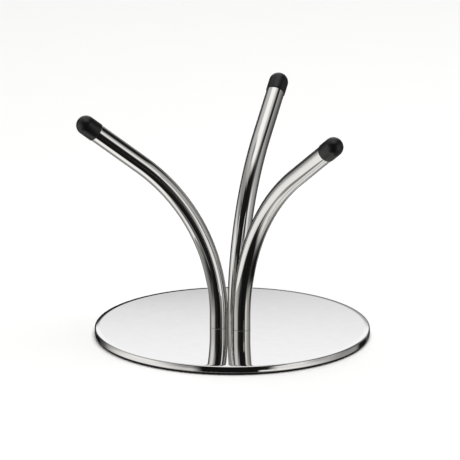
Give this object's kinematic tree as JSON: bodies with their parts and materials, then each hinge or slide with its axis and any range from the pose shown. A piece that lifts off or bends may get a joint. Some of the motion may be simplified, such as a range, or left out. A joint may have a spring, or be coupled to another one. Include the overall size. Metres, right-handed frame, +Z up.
{
  "type": "mug tree",
  "caption": "Countertop mug tree: bent, mirror-polished tube arms with black end caps spread from the middle of a heavy round plate, to hang mugs by their handles.",
  "frame": {"origin": "centre of the rubber disc's underside, on the surface that the mug tree stands on", "axes": "+Z up; the rear arm leans towards +Y, the left arm towards -X and -Y, the right arm towards +X and -Y"},
  "size_m": [0.18, 0.1929, 0.1531],
  "materials": {
    "polished_steel": "mirror-polished stainless steel",
    "cap_plastic": "satin black moulded plastic",
    "turned_steel": "turned, not polished",
    "screw_steel": "black oxide",
    "rubber": "fine-grained matt black rubber"
  },
  "bodies": {
    "root": {"base_plate": "polished_steel", "anti_slip_disc": "rubber", "rear_arm_tube": "polished_steel", "left_arm_tube": "polished_steel", "right_arm_tube": "polished_steel", "rear_end_cap": "cap_plastic", "left_end_cap": "cap_plastic", "right_end_cap": "cap_plastic", "rear_foot_insert": "turned_steel", "left_foot_insert": "turned_steel", "right_foot_insert": "turned_steel", "rear_foot_screw": "screw_steel", "left_foot_screw": "screw_steel", "right_foot_screw": "screw_steel"}
  },
  "joints": []
}
